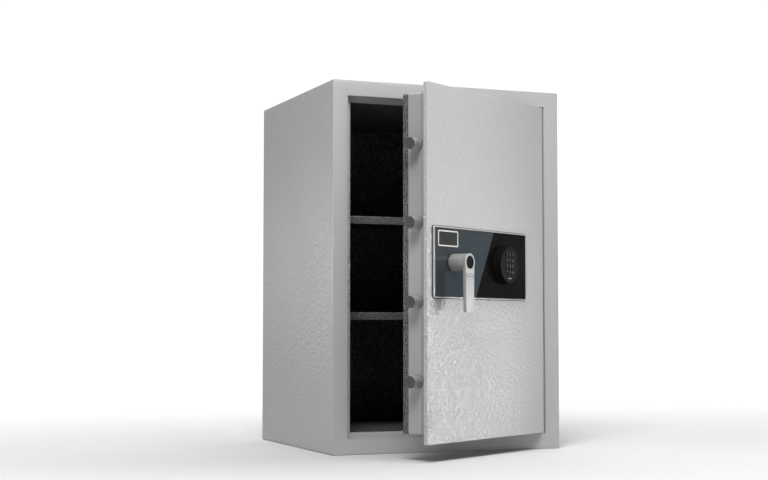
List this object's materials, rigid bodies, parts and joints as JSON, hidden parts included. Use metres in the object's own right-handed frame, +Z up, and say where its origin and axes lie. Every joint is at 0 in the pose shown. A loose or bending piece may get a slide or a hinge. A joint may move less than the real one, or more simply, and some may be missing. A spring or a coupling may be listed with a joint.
{
  "type": "keypad safe",
  "caption": "Free-standing fire-lined steel safe: hinged door, side locking bolts driven by a lever handle, keypad lock, removable shelves, anchor holes in the base.",
  "frame": {"origin": "centre of the cabinet's base, on the floor", "axes": "+Z up, the door faces -Y, the hinge is on the +X side"},
  "size_m": [0.54, 0.7503, 0.8],
  "materials": {
    "cabinet_paint": "satin",
    "door_paint": "satin",
    "pan_paint": "satin",
    "hammertone_paint": "satin",
    "barrier_concrete": "matte",
    "seal_strip": "matte",
    "bolt_steel": "satin",
    "plated_steel": "satin",
    "bare_steel": "satin",
    "bronze": "satin",
    "lock_zinc": "satin",
    "handle_metal": "satin",
    "black_insert": "satin",
    "bezel_metal": "satin",
    "fascia_gloss": "gloss",
    "keypad_black": "satin",
    "key_rubber": "matte",
    "board_green": "satin",
    "battery_case": "matte",
    "cable_jacket": "matte"
  },
  "bodies": {
    "cabinet": {"outer_shell": "cabinet_paint", "rear_panel": "cabinet_paint", "front_frame": "cabinet_paint", "strike_channel": "hammertone_paint", "hinge_channel": "hammertone_paint", "inner_liner": "hammertone_paint", "barrier_fill": "barrier_concrete", "shelf_clips": "hammertone_paint", "shelf_upper": "hammertone_paint", "shelf_lower": "hammertone_paint", "hinge_blocks": "bare_steel", "hinge_pins": "plated_steel", "thrust_washer": "bronze"},
    "door": {"hinge_stile": "door_paint", "hinge_bushes": "bronze", "door_plate": "door_paint", "door_pan": "pan_paint", "door_seal": "seal_strip", "door_back_cover": "hammertone_paint", "cover_screws": "plated_steel", "dead_bar": "pan_paint", "hard_plate": "bare_steel", "bolt_guide_rail": "bare_steel", "carriage_posts": "plated_steel", "lock_case": "lock_zinc", "lock_screws": "plated_steel", "lock_cable": "cable_jacket", "battery_pack": "battery_case", "spindle_bush": "bronze", "fascia_bezel": "bezel_metal", "fascia_panel": "fascia_gloss", "keypad_housing": "keypad_black", "keypad_face": "keypad_black", "keypad_board": "board_green"},
    "boltwork": {"locking_bolts": "bolt_steel", "bolt_screws": "plated_steel", "bolt_carriage": "bare_steel", "bolt_rack": "bare_steel", "lock_push_arm": "bare_steel"},
    "handle": {"handle_lever": "handle_metal", "handle_barrel": "handle_metal", "handle_cap": "black_insert", "handle_grub_screw": "plated_steel", "handle_spindle": "bare_steel", "spindle_clip": "plated_steel", "drive_pinion": "bare_steel"},
    "lock_bolt": {"lock_swing_bolt": "lock_zinc"},
    "key_1": {"key_1": "key_rubber"},
    "key_2": {"key_2": "key_rubber"},
    "key_3": {"key_3": "key_rubber"},
    "key_4": {"key_4": "key_rubber"},
    "key_5": {"key_5": "key_rubber"},
    "key_6": {"key_6": "key_rubber"},
    "key_7": {"key_7": "key_rubber"},
    "key_8": {"key_8": "key_rubber"},
    "key_9": {"key_9": "key_rubber"},
    "key_star": {"key_star": "key_rubber"},
    "key_0": {"key_0": "key_rubber"},
    "key_hash": {"key_hash": "key_rubber"}
  },
  "joints": [
    {"name": "door_swing", "type": "hinge", "parent": "cabinet", "child": "door", "pos_m": [0.2265, -0.242, 0.4], "axis": [0, 0, 1], "range_deg": [-32.4, 62.6]},
    {"name": "handle_turn", "type": "hinge", "parent": "door", "child": "handle", "pos_m": [-0.0871, -0.45049, 0.401], "axis": [-0.5358, 0.8443, 0], "range_deg": [0, 90]},
    {"name": "boltwork_slide", "type": "slide", "parent": "door", "child": "boltwork", "axis": [0.8443, 0.5358, 0], "range_m": [0, 0.02514]},
    {"name": "lock_bolt_swing", "type": "hinge", "parent": "door", "child": "lock_bolt", "pos_m": [0.03867, -0.33515, 0.395], "axis": [-0.5358, 0.8443, 0], "range_deg": [0, 90]},
    {"name": "key_1_press", "type": "slide", "parent": "door", "child": "key_1", "axis": [-0.5358, 0.8443, 0], "range_m": [0, 0.0011], "stiffness_N_per_m": 400},
    {"name": "key_2_press", "type": "slide", "parent": "door", "child": "key_2", "axis": [-0.5358, 0.8443, 0], "range_m": [0, 0.0011], "stiffness_N_per_m": 400},
    {"name": "key_3_press", "type": "slide", "parent": "door", "child": "key_3", "axis": [-0.5358, 0.8443, 0], "range_m": [0, 0.0011], "stiffness_N_per_m": 400},
    {"name": "key_4_press", "type": "slide", "parent": "door", "child": "key_4", "axis": [-0.5358, 0.8443, 0], "range_m": [0, 0.0011], "stiffness_N_per_m": 400},
    {"name": "key_5_press", "type": "slide", "parent": "door", "child": "key_5", "axis": [-0.5358, 0.8443, 0], "range_m": [0, 0.0011], "stiffness_N_per_m": 400},
    {"name": "key_6_press", "type": "slide", "parent": "door", "child": "key_6", "axis": [-0.5358, 0.8443, 0], "range_m": [0, 0.0011], "stiffness_N_per_m": 400},
    {"name": "key_7_press", "type": "slide", "parent": "door", "child": "key_7", "axis": [-0.5358, 0.8443, 0], "range_m": [0, 0.0011], "stiffness_N_per_m": 400},
    {"name": "key_8_press", "type": "slide", "parent": "door", "child": "key_8", "axis": [-0.5358, 0.8443, 0], "range_m": [0, 0.0011], "stiffness_N_per_m": 400},
    {"name": "key_9_press", "type": "slide", "parent": "door", "child": "key_9", "axis": [-0.5358, 0.8443, 0], "range_m": [0, 0.0011], "stiffness_N_per_m": 400},
    {"name": "key_star_press", "type": "slide", "parent": "door", "child": "key_star", "axis": [-0.5358, 0.8443, 0], "range_m": [0, 0.0011], "stiffness_N_per_m": 400},
    {"name": "key_0_press", "type": "slide", "parent": "door", "child": "key_0", "axis": [-0.5358, 0.8443, 0], "range_m": [0, 0.0011], "stiffness_N_per_m": 400},
    {"name": "key_hash_press", "type": "slide", "parent": "door", "child": "key_hash", "axis": [-0.5358, 0.8443, 0], "range_m": [0, 0.0011], "stiffness_N_per_m": 400}
  ],
  "couplings": [
    {"joint": "boltwork_slide", "follows": "handle_turn", "m_per_rad": 0.016},
    {"joint": "lock_bolt_swing", "follows": "handle_turn", "ratio": 1}
  ]
}
